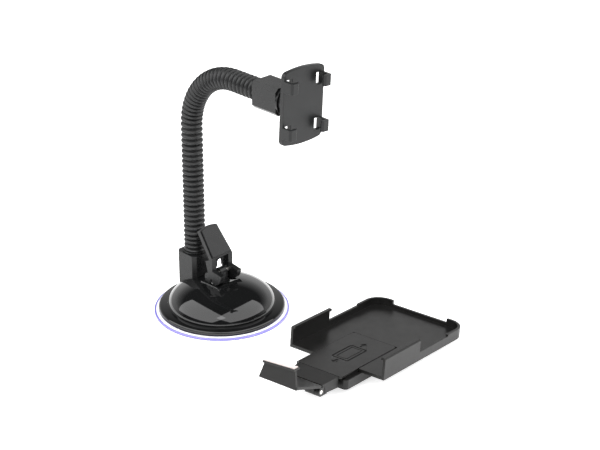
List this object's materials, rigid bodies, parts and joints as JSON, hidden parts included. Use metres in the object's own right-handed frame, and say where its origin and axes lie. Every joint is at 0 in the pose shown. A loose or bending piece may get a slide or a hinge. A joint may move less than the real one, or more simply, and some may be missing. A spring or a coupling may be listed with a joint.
{
  "type": "windscreen device mount",
  "caption": "Suction windscreen mount for a small in-car navigator: cam-lever foot, bendable ribbed neck, claw head plate and a separate clip-on cradle.",
  "frame": {"origin": "centre of the suction face, on the surface it grips", "axes": "+Z away from that surface, +X the way the neck reaches, +Y along the lever pin"},
  "size_m": [0.1881, 0.1529, 0.1825],
  "materials": {
    "clear_sheet": "clear soft sheet with a violet tint at its edge",
    "gloss_black": "polished black",
    "satin_black": "fine satin",
    "neck_rubber": "ribbed, satin",
    "neck_steel": "bright",
    "cradle_plastic": "fine satin",
    "pale_strip": "pale thin foam strip",
    "steel": "bright, turned"
  },
  "bodies": {
    "base": {"suction_sheet": "clear_sheet", "base_dome": "gloss_black", "lower_socket": "satin_black", "lower_collar": "satin_black", "lower_set_screw": "steel", "stem_spring": "steel", "neck_sleeve_0": "neck_rubber", "neck_core_0": "neck_steel"},
    "stem": {"pull_stem": "satin_black"},
    "lever": {"lever": "satin_black", "lever_cover": "satin_black", "lever_pin": "steel"},
    "neck_1": {"neck_sleeve_1": "neck_rubber", "neck_core_1": "neck_steel"},
    "neck_2": {"neck_sleeve_2": "neck_rubber", "neck_core_2": "neck_steel"},
    "neck_3": {"neck_sleeve_3": "neck_rubber", "neck_core_3": "neck_steel"},
    "neck_4": {"neck_sleeve_4": "neck_rubber", "neck_core_4": "neck_steel"},
    "neck_5": {"neck_sleeve_5": "neck_rubber", "neck_core_5": "neck_steel"},
    "neck_6": {"neck_sleeve_6": "neck_rubber", "neck_core_6": "neck_steel"},
    "neck_7": {"neck_sleeve_7": "neck_rubber", "neck_core_7": "neck_steel"},
    "neck_8": {"neck_sleeve_8": "neck_rubber", "neck_core_8": "neck_steel"},
    "neck_9": {"neck_sleeve_9": "neck_rubber", "neck_core_9": "neck_steel"},
    "head": {"neck_sleeve_10": "neck_rubber", "neck_core_10": "neck_steel", "upper_socket": "satin_black", "upper_set_screw": "steel", "swivel_clip": "steel"},
    "plate": {"claw_plate": "satin_black"},
    "cradle": {"cradle_back": "cradle_plastic", "rear_housing": "cradle_plastic", "housing_screw_left": "steel", "housing_screw_right": "steel"},
    "slider": {"slider": "cradle_plastic", "foot_pin": "steel"},
    "foot": {"foot": "cradle_plastic", "foot_pad": "pale_strip", "foot_spring": "steel"}
  },
  "joints": [
    {"name": "stem_lift", "type": "slide", "parent": "base", "child": "stem", "axis": [0, 0, 1], "range_m": [0, 0.00412], "deforming": ["stem_spring"]},
    {"name": "lever_turn", "type": "hinge", "parent": "stem", "child": "lever", "pos_m": [0, 0, 0.0264], "axis": [0, 1, 0], "range_deg": [0, 105]},
    {"name": "neck_lean_1", "type": "hinge", "parent": "base", "child": "neck_1", "pos_m": [-0.0244, 0, 0.045], "axis": [0, 1, 0], "range_deg": [-15, 8]},
    {"name": "neck_sway_2", "type": "hinge", "parent": "neck_1", "child": "neck_2", "pos_m": [-0.0244, 0, 0.06553], "axis": [1, 0, 0], "range_deg": [-15, 15]},
    {"name": "neck_lean_3", "type": "hinge", "parent": "neck_2", "child": "neck_3", "pos_m": [-0.0244, 0, 0.08607], "axis": [0, 1, 0], "range_deg": [-15, 8]},
    {"name": "neck_sway_4", "type": "hinge", "parent": "neck_3", "child": "neck_4", "pos_m": [-0.0244, 0, 0.1066], "axis": [1, 0, 0], "range_deg": [-15, 15]},
    {"name": "neck_curl_5", "type": "hinge", "parent": "neck_4", "child": "neck_5", "pos_m": [-0.02391, 0, 0.12484], "axis": [0, 1, 0], "range_deg": [-18, 4]},
    {"name": "neck_curl_6", "type": "hinge", "parent": "neck_5", "child": "neck_6", "pos_m": [-0.02005, 0, 0.13671], "axis": [0, 1, 0], "range_deg": [-18, 4]},
    {"name": "neck_curl_7", "type": "hinge", "parent": "neck_6", "child": "neck_7", "pos_m": [-0.01271, 0, 0.14681], "axis": [0, 1, 0], "range_deg": [-18, 4]},
    {"name": "neck_curl_8", "type": "hinge", "parent": "neck_7", "child": "neck_8", "pos_m": [-0.00261, 0, 0.15415], "axis": [0, 1, 0], "range_deg": [-18, 4]},
    {"name": "neck_curl_9", "type": "hinge", "parent": "neck_8", "child": "neck_9", "pos_m": [0.00926, 0, 0.15801], "axis": [0, 1, 0], "range_deg": [-18, 4]},
    {"name": "neck_tip_pan", "type": "hinge", "parent": "neck_9", "child": "head", "pos_m": [0.0259, 0, 0.1585], "axis": [0, 0, 1], "range_deg": [-15, 15]},
    {"name": "head_swivel", "type": "hinge", "parent": "head", "child": "plate", "pos_m": [0.0609, 0, 0.1585], "axis": [1, 0, 0], "continuous": true},
    {"name": "cradle_lift_off", "type": "slide", "parent": "base", "child": "cradle", "axis": [0, 0, 1], "range_m": [0, 0.025]},
    {"name": "slider_extend", "type": "slide", "parent": "cradle", "child": "slider", "axis": [0.1556, -0.9821, 0.1059], "range_m": [0, 0.018]},
    {"name": "foot_swing", "type": "hinge", "parent": "slider", "child": "foot", "pos_m": [0.11702, -0.04322, 0.01067], "axis": [0.9877, 0.1564, 0], "range_deg": [-5, 90]}
  ],
  "couplings": [
    {"joint": "lever_turn", "follows": "stem_lift", "rad_per_m": 444.44},
    {"joint": "neck_lean_3", "follows": "neck_lean_1", "ratio": 1},
    {"joint": "neck_sway_4", "follows": "neck_sway_2", "ratio": 1},
    {"joint": "neck_curl_6", "follows": "neck_curl_5", "ratio": 1},
    {"joint": "neck_curl_7", "follows": "neck_curl_5", "ratio": 1},
    {"joint": "neck_curl_8", "follows": "neck_curl_5", "ratio": 1},
    {"joint": "neck_curl_9", "follows": "neck_curl_5", "ratio": 1}
  ]
}
